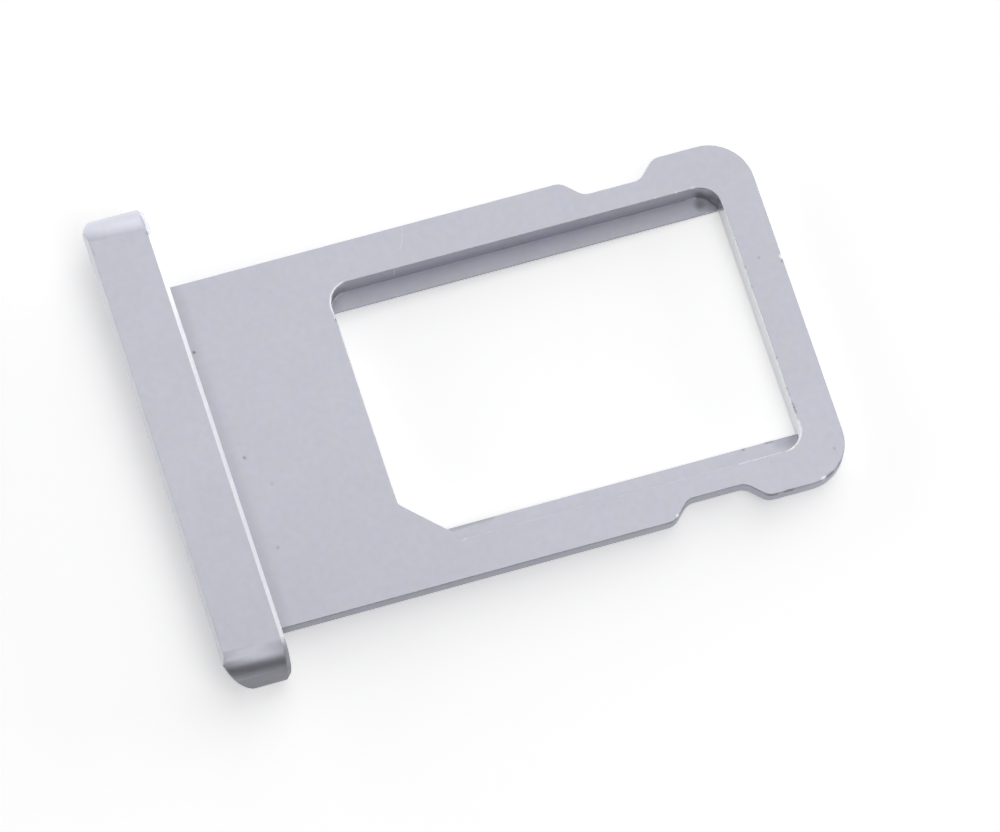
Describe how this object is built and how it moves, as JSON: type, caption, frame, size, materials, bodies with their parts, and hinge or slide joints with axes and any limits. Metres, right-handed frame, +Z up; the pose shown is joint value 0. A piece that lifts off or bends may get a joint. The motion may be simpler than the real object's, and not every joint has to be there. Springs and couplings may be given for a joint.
{
  "type": "sim card tray",
  "caption": "Flat aluminium card tray: a keyed pocket with side ledges over an open window, latch notches in its edges, and a round-ended cap with an eject pin hole.",
  "frame": {"origin": "middle of the tray's footprint, level with the underside of the cap", "axes": "+X from the outer cap to the tip that goes into the device first, +Y across the tray towards the cap's longer overhang, +Z up out of the card pocket"},
  "size_m": [0.0204, 0.0156, 0.002],
  "materials": {
    "tray_metal": "fine bead-blasted and clear anodised, silver satin"
  },
  "bodies": {
    "root": {"sim_tray": "tray_metal"}
  },
  "joints": []
}
